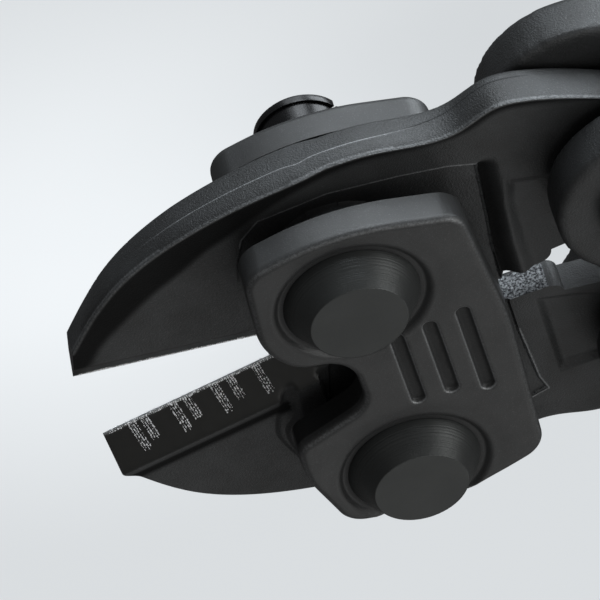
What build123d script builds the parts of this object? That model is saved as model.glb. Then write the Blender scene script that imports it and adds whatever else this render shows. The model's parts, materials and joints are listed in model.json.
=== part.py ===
from build123d import *
import os
from math import asin, atan2, cos, degrees, hypot, radians, sin, sqrt, tan

# Compact lever bolt cutters, 200 mm class, lying on their rear side with the jaws open.
# Millimetres. +Z is the direction of every pivot axis, +X runs from the jaws to the handles
# and +Y is the upper jaw's side. Everything is drawn in the head's own frame, whose origin is
# midway between the two jaw pivots, and is shifted once, when it is written.

# --- driving dimensions ------------------------------------------------------------------
PIVOT_Y = 11.0            # each jaw pivot's distance from the centre line
JAW_ANGLE = 9.5           # how far each jaw turns from fully open to closed, degrees
PLATE_OUTER_Z = 6.95      # outer faces of the two side plates
PLATE_THICKNESS = 2.9
PLATE_EDGE_RADIUS = 0.75
RUNNING_CLEARANCE = 0.05  # sliding faces, and pins in their bores
JAW_HALF = 1.85           # half thickness of a jaw's web and tail
FLANK_HALF = 1.15         # half thickness of the hollowed blade flank
CUT_HALF_ANGLE = 30.0     # half of the wedge angle of a cutting edge, degrees
PIN_RADIUS = 4.0          # jaw pivot bolts
TAIL_X = 25.0             # where a handle's front pin crosses its jaw's tail, at rest
TAIL_Y = 10.0
TAIL_EYE = 6.5            # outer radius of the tail round that pin
TAIL_PIN_RADIUS = 3.0
LINK = 15.5               # from a handle's front pin to the centre bolt
ARM_HALF = 6.4            # half thickness of a handle arm's forging
CENTRE_EYE = 7.5          # outer radius of the arms round the centre bolt
CENTRE_BOLT_RADIUS = 3.0
CENTRE_PLAY = 0.9         # extra radius of the lower arm's hole, the linkage's open pivot
REAR_Z = -12.9            # what the tool lies on: the rear nuts and the grips
GRIP_START = 36.0         # along a handle, from the centre bolt
GRIP_END = 148.0
MIDDLE_X = 72.0           # the middle of the open tool's length, from the jaw pivots

PLATE_INNER_Z = PLATE_OUTER_Z - PLATE_THICKNESS
HUB_HALF = PLATE_INNER_Z - RUNNING_CLEARANCE

# The centre bolt stays on the centre line: its place and the arm's angle, open and closed.
centre_x = TAIL_X + sqrt(LINK**2 - TAIL_Y**2)
tail_reach = hypot(TAIL_X, TAIL_Y - PIVOT_Y)
tail_angle = atan2(TAIL_Y - PIVOT_Y, TAIL_X) + radians(JAW_ANGLE)
closed_tail_y = PIVOT_Y + tail_reach * sin(tail_angle)
closed_tail_x = tail_reach * cos(tail_angle)
OPEN_ANGLE = degrees(asin(closed_tail_y / LINK) - asin(TAIL_Y / LINK))
closed_centre_x = closed_tail_x + sqrt(LINK**2 - closed_tail_y**2)
FRONT_PIN = (closed_tail_x - closed_centre_x, closed_tail_y)   # in an arm's own frame


# --- small helpers -----------------------------------------------------------------------
def slab(outline, z_low, z_high):
    """A flat outline pulled out between two heights."""
    return extrude(Pos(0, 0, z_low) * outline, amount=z_high - z_low)


def disc(centre, radius, z_low, z_high):
    return slab(Pos(centre[0], centre[1]) * Circle(radius), z_low, z_high)


def web(centre_a, radius_a, centre_b, radius_b):
    """Two circles and the straight flanks that touch both."""
    pair = [Edge.make_circle(r).moved(Location((c[0], c[1], 0)))
            for c, r in ((centre_a, radius_a), (centre_b, radius_b))]
    return make_hull(ShapeList(pair))


def mirrored(solid):
    return solid.mirror(Plane.XY)


def face_rim(solid, z):
    """The edges of the outline at one height."""
    return solid.edges().filter_by_position(Axis.Z, z - 0.01, z + 0.01)


# --- side plates -------------------------------------------------------------------------
PLATE_CORNERS = [          # corner and its rounding, clockwise from the upper front corner
    ((-7.45, 17.65), 2.4), ((0.6, 19.45), 20.0), ((10.3, 16.6), 2.4), ((11.3, 3.0), 30.0),
    ((10.6, -13.9), 2.6), ((0.8, -17.3), 8.0), ((-6.7, -15.3), 2.8), ((-8.75, -8.0), 12.0),
    ((-8.4, -4.2), 1.5), ((-1.8, -1.6), 2.4), ((-1.8, 4.1), 3.1), ((-6.2, 5.3), 1.6),
    ((-8.2, 8.6), 2.6)]
DIMPLE_RADIUS = 6.0
DIMPLE_DEPTH = 0.45
SLOT_WIDTH = 1.1
SLOT_DEPTH = 0.5
SLOT_SPANS = [(2.2, -3.2, 5.4), (5.0, -3.25, 5.75), (7.85, -4.3, 6.2)]   # x, lowest y, highest y


def plate_outline():
    points = [corner for corner, _ in PLATE_CORNERS]
    radii = [radius for _, radius in PLATE_CORNERS]
    return make_face(FilletPolyline(*points, radius=radii, close=True))


def side_plate():
    """The front plate: two bolt seats, a throat notch and three blind slots."""
    plate = slab(plate_outline(), PLATE_INNER_Z, PLATE_OUTER_Z)
    plate = fillet(face_rim(plate, PLATE_OUTER_Z), PLATE_EDGE_RADIUS)
    for side in (1, -1):
        centre = (0, side * PIVOT_Y)
        plate -= disc(centre, DIMPLE_RADIUS, PLATE_OUTER_Z - DIMPLE_DEPTH, PLATE_OUTER_Z + 1)
        plate -= disc(centre, PIN_RADIUS + 0.01, PLATE_INNER_Z - 1, PLATE_OUTER_Z + 1)
    for x, low, high in SLOT_SPANS:
        slot = Pos(x, (low + high) / 2) * SlotOverall(high - low, SLOT_WIDTH, rotation=90)
        plate -= slab(slot, PLATE_OUTER_Z - SLOT_DEPTH, PLATE_OUTER_Z + 1)
    return plate


# --- pivot bolts and their rear nuts -----------------------------------------------------
HEAD_BASE = 5.55
HEAD_END = 3.95
HEAD_TOP_Z = 9.1
STUD_RADIUS = 2.5
WASHER_THICKNESS = 0.8
WASHER_RADIUS = 4.9
NUT_RADIUS = 3.45
NUT_RIM = 3.75
NUT_SLOT = 1.0
NUT_RIM_HEIGHT = 0.9
STUD_RECESS = 1.6         # how far the stud stays inside the nut


def pivot_bolt(side):
    """A tapered plain head, a shank that carries the jaw, and a stud for the rear nut."""
    seat = PLATE_OUTER_Z - DIMPLE_DEPTH
    head = Pos(0, 0, (seat + HEAD_TOP_Z) / 2) * Cone(HEAD_BASE, HEAD_END, HEAD_TOP_Z - seat)
    head = fillet(face_rim(head, HEAD_TOP_Z), 0.15)
    shank = disc((0, 0), PIN_RADIUS, -PLATE_OUTER_Z, seat)
    stud = disc((0, 0), STUD_RADIUS, REAR_Z + STUD_RECESS, -PLATE_OUTER_Z)
    return Pos(0, side * PIVOT_Y) * (head + shank + stud)


def nut_washer(side):
    ring = disc((0, 0), WASHER_RADIUS, -PLATE_OUTER_Z - WASHER_THICKNESS, -PLATE_OUTER_Z)
    return Pos(0, side * PIVOT_Y) * (ring - disc((0, 0), STUD_RADIUS, -20, 20))


def rear_nut(side):
    """A tall round nut with a rolled rim and a screwdriver slot across its end."""
    top = -PLATE_OUTER_Z - WASHER_THICKNESS
    nut = disc((0, 0), NUT_RADIUS, REAR_Z, top) + disc((0, 0), NUT_RIM, REAR_Z, REAR_Z + NUT_RIM_HEIGHT)
    nut = chamfer(face_rim(nut, REAR_Z), 0.25)
    nut -= disc((0, 0), STUD_RADIUS, REAR_Z + STUD_RECESS, top + 1)
    nut -= Pos(0, 0, REAR_Z) * Rot(0, 0, 20) * Box(10, NUT_SLOT, 2.2)
    return Pos(0, side * PIVOT_Y) * nut


# --- jaws --------------------------------------------------------------------------------
# Each jaw is drawn at rest: its tip, spine, tail and cutting edge.
UPPER = {"side": 1, "tip": (-23.4, 5.62), "front": (-22.55, 9.6), "edge_end": (-5.2, 2.62),
         "spine": [(-17.2, 15.6), (-9.8, 19.35), (-1.0, 21.0)],
         "back": [(12.0, 20.2), (13.7, 20.9), (15.4, 21.45), (17.5, 21.2), (19.7, 20.4)],
         "heel": 1.4, "throat": (-3.6, 3.6),
         "hollow": [(-20.4, 7.6), (-17.4, 12.4), (-12.8, 16.2), (-9.6, 16.9), (-9.6, 5.6)]}
LOWER = {"side": -1, "tip": (-23.1, -2.34), "front": (-22.75, -5.9), "edge_end": (-5.2, 0.7),
         "spine": [(-17.7, -12.0), (-9.6, -15.9), (0.0, -17.4)],
         "back": [(12.2, -16.8), (15.8, -17.9), (19.7, -17.3)], "heel": -1.2, "throat": (-3.4, -1.2),
         "hollow": [(-20.2, -8.2), (-16.6, -11.0), (-13.0, -12.9), (-9.6, -13.6), (-9.6, -7.2)]}
STOP_GAP = 0.05           # half of the gap left between the two tails' stop faces
INNER_GAP = 0.5           # half of the gap between the two hubs
BOSS_RADIUS = 5.4         # the boss that the side plates bear on
PAD_RADIUS = 8.3          # machined pad round the boss
PAD_HALF = 2.15
PANEL_HALF = 1.3          # half thickness of the tail's recessed panel
TOOTH = (2.6, 0.0)        # the tooth on the upper jaw that keeps the jaws in step
TOOTH_RADIUS = 1.4
TOOTH_PLAY = 0.35


def jaw_outline(jaw):
    """The jaw seen along its pivot: front, spine, tail eye, heel, stop face, throat, edge."""
    s, heel_y = jaw["side"], jaw["heel"]
    spine = Spline(jaw["front"], *jaw["spine"])
    back = Spline(*jaw["back"], (TAIL_X + 5.2, s * (TAIL_Y + 3.9)))
    eye = ThreePointArc(back @ 1, (TAIL_X + TAIL_EYE, s * TAIL_Y),
                        (TAIL_X + 1.6, s * (TAIL_Y - 6.3)))
    heel = ThreePointArc((16.1, heel_y + s * 1.1), (15.7, heel_y + s * 0.3), (14.9, heel_y))
    inner = Polyline(heel @ 1, (11.3, heel_y), (11.1, s * STOP_GAP), (9.5, s * STOP_GAP),
                     (9.2, s * INNER_GAP), (-0.5, s * INNER_GAP), (-2.2, s * 0.9),
                     jaw["throat"], jaw["edge_end"])
    lines = [Line(jaw["tip"], jaw["front"]), spine, Line(spine @ 1, back @ 0), back, eye,
             Line(eye @ 1, heel @ 0), heel, inner, Line(jaw["edge_end"], jaw["tip"])]
    return make_face([edge for line in lines for edge in line.edges()])


def bevel_cutter(jaw, face):
    """What grinding takes off one face of a blade to leave its half of the cutting wedge."""
    tip, end = Vector(*jaw["tip"]), Vector(*jaw["edge_end"])
    along = (tip - end).normalized()
    into = Vector(-along.Y, along.X) * -1
    if into.Y * jaw["side"] < 0:
        into = into * -1
    depth, lead = 7.0, 2.0
    slope = tan(radians(CUT_HALF_ANGLE))
    points = []
    for distance, height in ((-lead, -lead * slope), (depth, depth * slope), (depth, 9), (-lead, 9)):
        place = end - along * 0.6 + into * distance
        points.append(Vector(place.X, place.Y, face * height))
    section = make_face(Polyline(*points, close=True))
    return extrude(section, amount=(tip - end).length + 3.0, dir=along)


def jaw_hollows(jaw):
    """The shallow hollows of the blade's flank and of the tail's panel, on the front face."""
    s = jaw["side"]
    flank = make_face(Polyline(*jaw["hollow"], close=True))
    panel = Polyline((13.6, s * 2.6), (13.9, s * 12.6), (18.4, s * 12.0), (17.2, s * 3.6), close=True)
    deep = extrude(Pos(0, 0, FLANK_HALF) * flank, amount=2, taper=-30)
    return deep + extrude(Pos(0, 0, PANEL_HALF) * make_face(panel), amount=2, taper=-30)


def jaw_solid(jaw):
    s = jaw["side"]
    pivot, eye = (0, s * PIVOT_Y), (TAIL_X, s * TAIL_Y)
    outline = jaw_outline(jaw)
    solid = slab(outline, -JAW_HALF, JAW_HALF)
    pad = slab(outline, -PAD_HALF, PAD_HALF) & disc(pivot, PAD_RADIUS, -PAD_HALF, PAD_HALF)
    solid = solid + pad + disc(pivot, BOSS_RADIUS, -HUB_HALF, HUB_HALF)
    hollows = jaw_hollows(jaw)
    solid = solid - hollows - mirrored(hollows)
    for face in (1, -1):
        solid -= bevel_cutter(jaw, face)
    if s > 0:
        solid += disc(TOOTH, TOOTH_RADIUS, -JAW_HALF, JAW_HALF)
    else:
        solid -= disc(TOOTH, TOOTH_RADIUS + TOOTH_PLAY, -JAW_HALF - 1, JAW_HALF + 1)
    solid -= disc(pivot, PIN_RADIUS + RUNNING_CLEARANCE, -10, 10)
    return solid - disc(eye, TAIL_PIN_RADIUS + RUNNING_CLEARANCE, -10, 10)


# --- handle arms, drawn closed with the centre bolt at their own origin -------------------
FORK_SLOT_HALF = 2.35     # half width of the fork's slot, which the jaw's tail turns in
FORK_EYE = 8.0
NECK = (33.0, 13.4)       # where the arm narrows into its tang
NECK_RADIUS = 4.6
SHOULDER = (5.0, 13.2)    # the outer corner of the arm, beside the centre bolt
SHOULDER_RADIUS = 8.6
TANG_HALF_WIDTH = 3.4
TANG_HALF_THICKNESS = 2.4
TANG_END = 118.0
LAP_CLEARANCE = 1.0
NOSE = (-7.05, 18.9)      # the rear cheek's long nose, in the arm's own frame
NOSE_RADIUS = 8.3
BUFFER_X = 22.0           # the rubber buffer in the arm's inner edge


def tang():
    """The flat tang that the grip is moulded over."""
    length = TANG_END - NECK[0]
    blade = Box(length, 2 * TANG_HALF_WIDTH, 2 * TANG_HALF_THICKNESS)
    return Pos(NECK[0] + length / 2, NECK[1] + 0.6) * blade


def buffer():
    """A rubber buffer with a stem in the arm; the two meet when the handles are closed."""
    pad = Pos(BUFFER_X, 4.2, 0) * Rot(90, 0, 0) * Cone(3.8, 3.2, 8.0)
    stem = Pos(BUFFER_X, 10.0, 0) * Rot(90, 0, 0) * Cylinder(2.0, 4.0)
    return pad + stem


def handle_arm(side):
    """The forged arm: fork, lap eye, neck and tang. Its rear cheek has the longer nose."""
    outline = web(FRONT_PIN, FORK_EYE, SHOULDER, SHOULDER_RADIUS)
    outline += web(SHOULDER, SHOULDER_RADIUS, NECK, NECK_RADIUS)
    nose = slab(web(FRONT_PIN, FORK_EYE, NOSE, NOSE_RADIUS), -ARM_HALF, -FORK_SLOT_HALF)
    solid = slab(outline, -ARM_HALF, ARM_HALF) + (nose if side > 0 else mirrored(nose))
    solid += slab(web((0, 0), CENTRE_EYE, (9.0, 9.0), 7.0), STOP_GAP, ARM_HALF)
    solid -= disc((0, 0), CENTRE_EYE + LAP_CLEARANCE, -ARM_HALF - 1, STOP_GAP)
    slot_back = FRONT_PIN[0] + TAIL_EYE + 1.2
    slot_foot = FRONT_PIN[1] - TAIL_EYE - 0.05
    solid -= Pos(slot_back - 20, slot_foot + 15) * Box(40, 30, 2 * FORK_SLOT_HALF)
    solid -= disc(FRONT_PIN, FORK_EYE + 0.2, -FORK_SLOT_HALF, FORK_SLOT_HALF)
    solid -= disc(FRONT_PIN, TAIL_PIN_RADIUS, -20, 20)
    hole = CENTRE_BOLT_RADIUS + (0.01 if side > 0 else CENTRE_PLAY)
    solid -= disc((0, 0), hole, -20, 20)
    return solid + tang() - buffer()


def placed(solid, side):
    """Turns an arm's piece to the open pose and, for the lower handle, over to its side."""
    piece = Pos(centre_x, 0) * Rot(0, 0, OPEN_ANGLE) * solid
    return piece if side > 0 else Rot(180, 0, 0) * piece


# --- grips -------------------------------------------------------------------------------
# Stations along the grip: distance from the centre bolt, middle line, half width, half depth.
GRIP_STATIONS = [(GRIP_START, 13.6, 7.4, 8.2), (52.0, 14.0, 9.4, 10.6), (78.0, 15.2, 10.6, 12.7),
                 (104.0, 15.6, 10.2, 12.7), (130.0, 15.0, 10.8, 12.7), (GRIP_END, 14.4, 9.2, 11.4)]
SLEEVE_WALL = 2.2
SLEEVE_START = 46.0
SLEEVE_END = 140.0


def grip_body(inset):
    """The grip's swelling body; the inset is how far its skin lies inside the outer form."""
    sections = []
    for x, middle, width, depth in GRIP_STATIONS:
        plane = Plane(origin=(x, middle, 0), x_dir=(0, 1, 0), z_dir=(1, 0, 0))
        sections.append(plane * Ellipse(width - inset, depth - inset))
    return loft(sections)


def grip_core():
    """The hard core moulded over the tang, full size at its collar and heel."""
    core = grip_body(0)
    band = Pos((SLEEVE_START + SLEEVE_END) / 2, 14) * Box(SLEEVE_END - SLEEVE_START, 60, 60)
    core = (core - band) + (grip_body(SLEEVE_WALL) & band) - tang()
    return core - disc(NECK, NECK_RADIUS + 0.05, -ARM_HALF - 0.05, ARM_HALF + 0.05)


def grip_sleeve():
    """The soft sleeve round the core."""
    band = Pos((SLEEVE_START + SLEEVE_END) / 2, 14) * Box(SLEEVE_END - SLEEVE_START, 60, 60)
    return (grip_body(0) & band) - grip_body(SLEEVE_WALL)


# --- pins, rings, centre bolt and bump stops ---------------------------------------------
PIN_HEAD_RADIUS = 4.6
PIN_HEAD_HEIGHT = 1.4
PIN_GROOVE_RADIUS = 2.5
RING_RADIUS = 4.2
RING_GAP = 2.0
CENTRE_HEAD = (5.4, 4.1, 2.2)         # radius at the washer, radius at the top, height
CENTRE_WASHER_RADIUS = 6.2
CENTRE_NUT = (5.5, 3.6)               # radius over the corners, height
def tail_pin():
    """A headed pin through a fork and the tail between its cheeks."""
    pin = disc((0, 0), TAIL_PIN_RADIUS, -ARM_HALF - 1.6, ARM_HALF)
    head = disc((0, 0), PIN_HEAD_RADIUS, ARM_HALF, ARM_HALF + PIN_HEAD_HEIGHT)
    head = chamfer(face_rim(head, ARM_HALF + PIN_HEAD_HEIGHT), 0.4)
    groove = disc((0, 0), 5, -ARM_HALF - 0.9, -ARM_HALF - 0.1)
    groove -= disc((0, 0), PIN_GROOVE_RADIUS, -20, 20)
    return Pos(*FRONT_PIN) * (pin + head - groove)


def tail_ring():
    """The open retaining ring in the pin's groove."""
    ring = disc((0, 0), RING_RADIUS, -ARM_HALF - 0.8, -ARM_HALF - 0.1)
    ring -= disc((0, 0), PIN_GROOVE_RADIUS + 0.02, -20, 20)
    return Pos(*FRONT_PIN) * (ring - Pos(3.5, 0, -ARM_HALF) * Box(5, RING_GAP, 4))


def centre_bolt():
    """The bolt that joins the two handles, with a plain round head."""
    shank = disc((0, 0), CENTRE_BOLT_RADIUS, -ARM_HALF - 4.2, ARM_HALF + WASHER_THICKNESS)
    low = ARM_HALF + WASHER_THICKNESS
    base, top, height = CENTRE_HEAD
    return shank + Pos(0, 0, low + height / 2) * Cone(base, top, height)


def centre_washers():
    """One washer under the head, one that covers the lower arm's larger hole."""
    hole = disc((0, 0), CENTRE_BOLT_RADIUS + 0.01, -20, 20)
    front = disc((0, 0), CENTRE_WASHER_RADIUS, ARM_HALF, ARM_HALF + WASHER_THICKNESS)
    rear_top = -ARM_HALF - RUNNING_CLEARANCE
    rear = disc((0, 0), CENTRE_WASHER_RADIUS, rear_top - WASHER_THICKNESS, rear_top)
    return front - hole, rear - hole


def centre_nut():
    top = -ARM_HALF - RUNNING_CLEARANCE - WASHER_THICKNESS
    radius, height = CENTRE_NUT
    nut = slab(RegularPolygon(radius, 6), top - height, top)
    return nut - disc((0, 0), CENTRE_BOLT_RADIUS + 0.01, -20, 20)


def handle_nodes(side):
    """One handle: its arm, grip, front pin, ring and buffer."""
    pieces = {"tail_pin": tail_pin(), "tail_ring": tail_ring(), "handle_arm": handle_arm(side),
              "grip_core": grip_core(), "grip_sleeve": grip_sleeve(), "buffer": buffer()}
    if side < 0:                    # the pin's head stays at the front
        for name in ("tail_pin", "tail_ring"):
            pieces[name] = mirrored(pieces[name])
    return pieces


def build():
    """Every node of the tool, by name, in the head's frame."""
    plate = side_plate()
    nodes = {"front_side_plate": plate, "rear_side_plate": mirrored(plate),
             "upper_jaw": jaw_solid(UPPER), "lower_jaw": jaw_solid(LOWER)}
    for side, name in ((1, "upper"), (-1, "lower")):
        nodes[name + "_pivot_bolt"] = pivot_bolt(side)
        nodes[name + "_nut_washer"] = nut_washer(side)
        nodes[name + "_rear_nut"] = rear_nut(side)
        for piece, solid in handle_nodes(side).items():
            nodes[name + "_" + piece] = placed(solid, side)
    front_washer, rear_washer = centre_washers()
    for name, solid in (("centre_bolt", centre_bolt()), ("centre_nut", centre_nut()),
                        ("centre_front_washer", front_washer),
                        ("centre_rear_washer", rear_washer)):
        nodes[name] = placed(solid, 1)
    return nodes


def main():
    os.makedirs("parts", exist_ok=True)
    for name, solid in build().items():
        solid = Pos(-MIDDLE_X, 0, -REAR_Z) * solid
        export_step(solid, f"parts/{name}.step")
        print(f"{name:22s} {solid.volume:9.1f} mm3, {len(solid.solids())} solid")


if __name__ == "__main__":
    main()
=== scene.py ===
# %% [markdown]
# # Compact bolt cutters
# A pair of forged cutting jaws turns on two bolts between two pressed side plates, and two forged
# arms with moulded grips drive their tails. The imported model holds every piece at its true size.
# This script gives each piece its finish, and builds the forgings again with the soft edges, coves
# and ground faces that a plain solid doesn't have.

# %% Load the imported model
import json
from math import cos, pi, radians, sin, tan

import bpy
import numpy as np
from mathutils import Matrix, Vector, geometry, kdtree


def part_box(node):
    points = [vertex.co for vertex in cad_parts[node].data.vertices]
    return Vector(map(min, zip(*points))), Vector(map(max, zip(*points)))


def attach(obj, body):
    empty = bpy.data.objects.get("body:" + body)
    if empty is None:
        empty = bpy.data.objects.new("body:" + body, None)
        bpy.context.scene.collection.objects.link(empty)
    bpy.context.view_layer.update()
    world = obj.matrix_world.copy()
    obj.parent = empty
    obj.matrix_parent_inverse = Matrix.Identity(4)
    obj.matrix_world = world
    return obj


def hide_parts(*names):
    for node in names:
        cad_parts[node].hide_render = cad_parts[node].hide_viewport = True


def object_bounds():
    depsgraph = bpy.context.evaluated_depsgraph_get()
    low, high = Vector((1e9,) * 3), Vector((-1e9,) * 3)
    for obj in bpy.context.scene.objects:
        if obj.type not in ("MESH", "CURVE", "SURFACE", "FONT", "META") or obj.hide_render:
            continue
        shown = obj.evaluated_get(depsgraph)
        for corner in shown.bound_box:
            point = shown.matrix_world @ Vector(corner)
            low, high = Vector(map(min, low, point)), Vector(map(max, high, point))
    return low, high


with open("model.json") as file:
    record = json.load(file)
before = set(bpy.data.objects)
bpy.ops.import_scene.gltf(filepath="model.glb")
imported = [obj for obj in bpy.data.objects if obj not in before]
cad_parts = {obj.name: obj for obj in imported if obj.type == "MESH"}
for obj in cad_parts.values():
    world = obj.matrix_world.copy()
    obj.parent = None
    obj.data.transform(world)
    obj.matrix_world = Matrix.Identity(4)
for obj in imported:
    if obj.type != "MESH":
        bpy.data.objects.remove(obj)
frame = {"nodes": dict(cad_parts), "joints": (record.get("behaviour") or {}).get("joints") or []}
CAD_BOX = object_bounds()
print("model box in mm:", [round(1000 * v, 1) for v in (*CAD_BOX[0], *CAD_BOX[1])])

# %% [markdown]
# The head is easiest to draw from the point midway between its two pivots, in millimetres. The
# joints in the frame say where the pivots are, so that point comes from them.

# %% Pivots and the head's own frame
MM = 0.001
pivots = {joint["name"]: np.array(joint["pos_m"]) / MM for joint in frame["joints"]}
HEAD = (pivots["upper_jaw_pivot"] + pivots["lower_jaw_pivot"]) / 2
PIVOT_Y = float(pivots["upper_jaw_pivot"][1] - HEAD[1])
TAIL_X, TAIL_Y = (float(v) for v in (pivots["upper_handle_pivot"] - HEAD)[:2])


def place(points):
    """Points of the head's frame, in millimetres, as metres in the model's frame."""
    return (np.asarray(points, float) + HEAD) * MM


def box_mm(node):
    """A node's lowest and highest corner in the head's frame, in millimetres."""
    low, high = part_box(node)
    return np.array(low) / MM - HEAD, np.array(high) / MM - HEAD


def added(name, data):
    """A new object in the scene that shows a mesh, a lamp or a camera."""
    piece = bpy.data.objects.new(name, data)
    bpy.context.scene.collection.objects.link(piece)
    return piece


print("pivots at y", PIVOT_Y, "and tail pins at", (TAIL_X, TAIL_Y))

# %% [markdown]
# The tool lies on a light table and is seen through a long lens. The camera looks steeply across
# the head and is rolled so that the jaws point left. Its axes are given as two directions, and the
# third follows from them. It is made first, because everything is judged by it.

# %% Camera
CAMERA_SPOT = (12.2, 331.7, 282.8)
CAMERA_BACK = (0.0380, 0.7551, 0.6545)
CAMERA_UP = (0.3221, 0.6109, -0.7235)
SENSOR = 36.0
LENS = 324.2

back = Vector(CAMERA_BACK).normalized()
right = Vector(CAMERA_UP).cross(back).normalized()
axes = Matrix((right, back.cross(right), back)).transposed().to_4x4()
camera = added("camera", bpy.data.cameras.new("camera"))
camera.data.sensor_width = SENSOR
camera.data.lens = LENS
camera.data.clip_start = 0.01
camera.matrix_world = Matrix.Translation(Vector(place(CAMERA_SPOT))) @ axes
bpy.context.scene.camera = camera
print("camera", [round(v, 3) for v in camera.location], "lens", LENS)

# %% [markdown]
# Materials and geometry are both trees of nodes. These helpers add a node and fill in its inputs in
# one call, so that a tree can be read from top to bottom.

# %% Node helpers
def plug(tree, node, **inputs):
    """Fills in inputs, each with a value or a socket to link. An input called _0 is the first."""
    for label, value in inputs.items():
        socket = node.inputs[int(label[1:]) if label[1:].isdigit() else label.replace("_", " ")]
        if isinstance(value, bpy.types.NodeSocket):
            tree.links.new(value, socket)
        else:
            socket.default_value = (*value, 1) if socket.type == "RGBA" else value


def add_node(tree, kind, settings=(), **inputs):
    """Adds a node with its settings and its inputs."""
    node = tree.nodes.new(kind)
    for label, choice in settings:
        setattr(node, label, choice)
    plug(tree, node, **inputs)
    return node


def new_material(name):
    """A new material, its tree and its shader."""
    material = bpy.data.materials.new(name)
    material.use_nodes = True
    return material, material.node_tree, material.node_tree.nodes["Principled BSDF"]


def own_place(tree):
    """The piece's own coordinates."""
    return add_node(tree, "ShaderNodeTexCoord").outputs["Object"]


def remap(tree, value, low, high, new_low, new_high, kind="LINEAR"):
    """Stretches a value from one range to another, clamped."""
    return add_node(tree, "ShaderNodeMapRange", [("interpolation_type", kind)], Value=value, From_Min=low,
                    From_Max=high, To_Min=new_low, To_Max=new_high).outputs["Result"]

# %% [markdown]
# The table is a plain pale sheet that glows a little, as a light table does, so that the tool's
# shadow stays faint. It lies where the rear nuts and the grips stand.

# %% Light table
TABLE_SIZE = 6.0
TABLE_GAP = 0.0002            # metres under the lowest point
TABLE_COLOUR = (0.93, 0.97, 1.0)
POOL_CENTRE = (-20.0, 4.0)    # where the sheet glows most, and how that fades: mm and strengths
POOL_REACH = 40.0
POOL_GLOW = 0.93
SHEET_GLOW = 0.70

half, level = TABLE_SIZE / 2, CAD_BOX[0].z - TABLE_GAP
mesh = bpy.data.meshes.new("light_table")
mesh.from_pydata([(x * half, y * half, level) for x, y in ((-1, -1), (1, -1), (1, 1), (-1, 1))],
                 [], [(0, 1, 2, 3)])
sheet, tree, shader = new_material("pale_sheet")
reach = add_node(tree, "ShaderNodeVectorMath", [("operation", "DISTANCE")], _0=own_place(tree),
                 _1=(*place((*POOL_CENTRE, 0))[:2], level))
glow = remap(tree, reach.outputs["Value"], 0, POOL_REACH * MM, POOL_GLOW, SHEET_GLOW, "SMOOTHSTEP")
plug(tree, shader, Base_Color=(0.10, 0.10, 0.10), Roughness=0.9, Specular_IOR_Level=0.0,
     Emission_Color=TABLE_COLOUR, Emission_Strength=glow)
mesh.materials.append(sheet)
table = added("light_table", mesh)
table.visible_shadow = table.visible_diffuse = table.visible_glossy = False
print("sheet at", round(level / MM, 2), "mm and", TABLE_SIZE, "m wide")

# %% [markdown]
# The lamps are large and soft. Three stand under the sheet and shine through it on the walls that
# face the camera's foot, wide cards are reflected by the flat faces, and a strip at the handle end
# draws the thin highlights on rounded corners.

# %% Lamps
AIM = (0.0, 4.0, 2.0)
COOL = (0.90, 0.96, 1.0)
PLAIN_WHITE = (1.0, 1.0, 0.98)
LAMPS = [     # name, direction from the head, side in mm, watts, colour
    ("under_end_lamp", (0.80, 0.30, -0.50), 350, 3.2, COOL),
    ("under_wall_lamp", (0.12, 0.80, -0.60), 350, 1.3, COOL),
    ("under_lamp", (0.45, 0.55, -0.70), 350, 0.6, COOL),
    ("wall_lamp", (0.33, 0.90, -0.20), 300, 1.6, COOL),
    ("end_card", (0.80, 0.10, 0.60), 350, 1.15, PLAIN_WHITE),
    ("end_strip", (0.95, 0.22, 0.20), 350, 0.60, PLAIN_WHITE),
    ("top_card", (0.20, 0.20, 0.96), 350, 0.52, PLAIN_WHITE),
    ("fill_card", (-0.30, 0.60, 0.74), 400, 0.12, PLAIN_WHITE),
    ("face_card", (-0.03, -0.76, 0.65), 350, 0.22, PLAIN_WHITE),
    ("face_end_card", (0.35, -0.70, 0.60), 300, 0.20, PLAIN_WHITE)]
LAMP_DISTANCE = 600       # mm
WORLD_GLOW = 0.10

for name, direction, side, watts, colour in LAMPS:
    lamp = bpy.data.lights.new(name, "AREA")
    lamp.size = side * MM
    lamp.energy = watts
    lamp.color = colour
    way = Vector(direction).normalized()
    holder = added(name, lamp)
    holder.rotation_mode = "QUATERNION"
    holder.rotation_quaternion = way.to_track_quat("Z", "Y")
    holder.location = Vector(place(AIM)) + way * LAMP_DISTANCE * MM
    holder.visible_camera = False
world = bpy.data.worlds.new("studio")
bpy.context.scene.world = world
world.use_nodes = True
plug(world.node_tree, world.node_tree.nodes["Background"], Color=(1.0, 1.0, 1.0), Strength=WORLD_GLOW)
bpy.context.scene.view_settings.view_transform = "Standard"
print(len(LAMPS), "lamps")

# %% [markdown]
# ## Finishes
# Forged steel that has been blasted and blackened is never one colour. It has a fine even grain
# and larger cloudy patches. Shade is painted into its hollows as a much darker, duller tone. Where
# the piece is rubbed or ground, metal shows through, and its edges and die seam are painted lighter,
# part wear and part painted highlight. The meshes below carry these places as attributes for painted
# shade, ground, wear with painted highlight and bare, from 0 to 1, and one material reads them all.

# %% Noise, mixes and bumps
def noise(tree, scale, detail=3.0, rough=0.5):
    """Noise on the piece's own coordinates. Scale is in features per metre."""
    return add_node(tree, "ShaderNodeTexNoise", Vector=own_place(tree), Scale=scale, Detail=detail,
                    Roughness=rough).outputs["Fac"]


def mix(tree, share, first, second):
    """Mixes two colours by a share."""
    return add_node(tree, "ShaderNodeMix", [("data_type", "RGBA")], _0=share, _6=first,
                    _7=second).outputs[2]


def blend(tree, share, first, second):
    """Mixes two numbers by a share."""
    return add_node(tree, "ShaderNodeMix", _0=share, _2=first, _3=second).outputs[0]


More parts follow.
